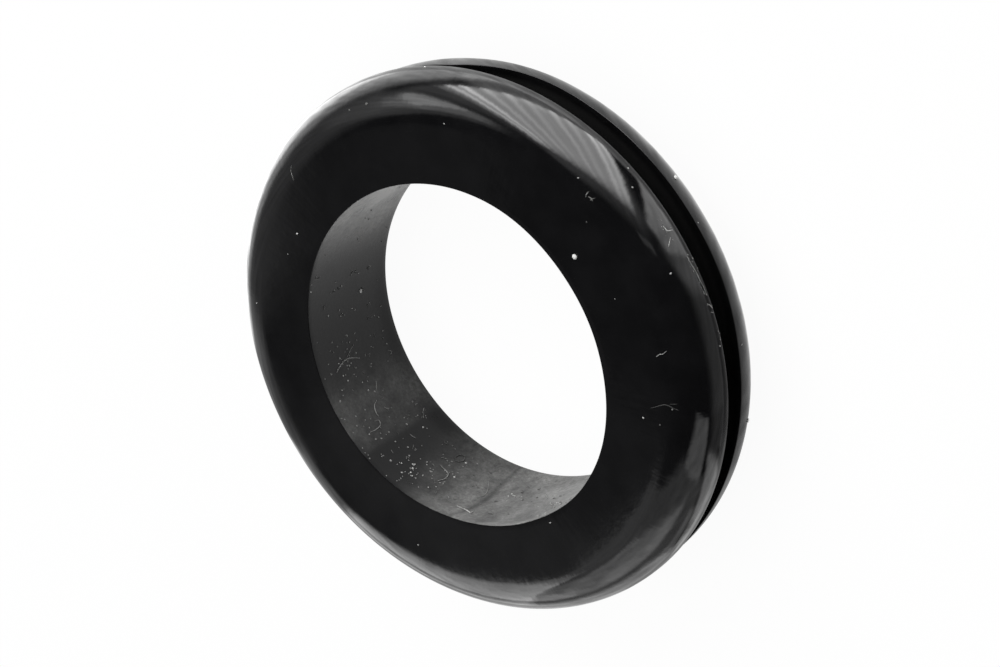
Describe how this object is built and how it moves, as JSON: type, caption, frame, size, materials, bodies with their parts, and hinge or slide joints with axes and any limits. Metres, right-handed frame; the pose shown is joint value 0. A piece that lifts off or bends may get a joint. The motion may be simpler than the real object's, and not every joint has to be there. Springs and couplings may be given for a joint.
{
  "type": "rubber grommet",
  "caption": "Open ring of soft black rubber with a groove round its outside, which snaps into a hole in a panel and guards the cable through it.",
  "frame": {"origin": "centre of the face of the back flange, which the ring rests on", "axes": "+Z along the axis of the bore, from the back flange to the front flange; X and Y lie in the resting face and are alike"},
  "size_m": [0.0315, 0.0314, 0.0072],
  "materials": {
    "rubber": "smooth glossy black moulding, satin inside the bore"
  },
  "bodies": {
    "root": {"grommet": "rubber"}
  },
  "joints": []
}
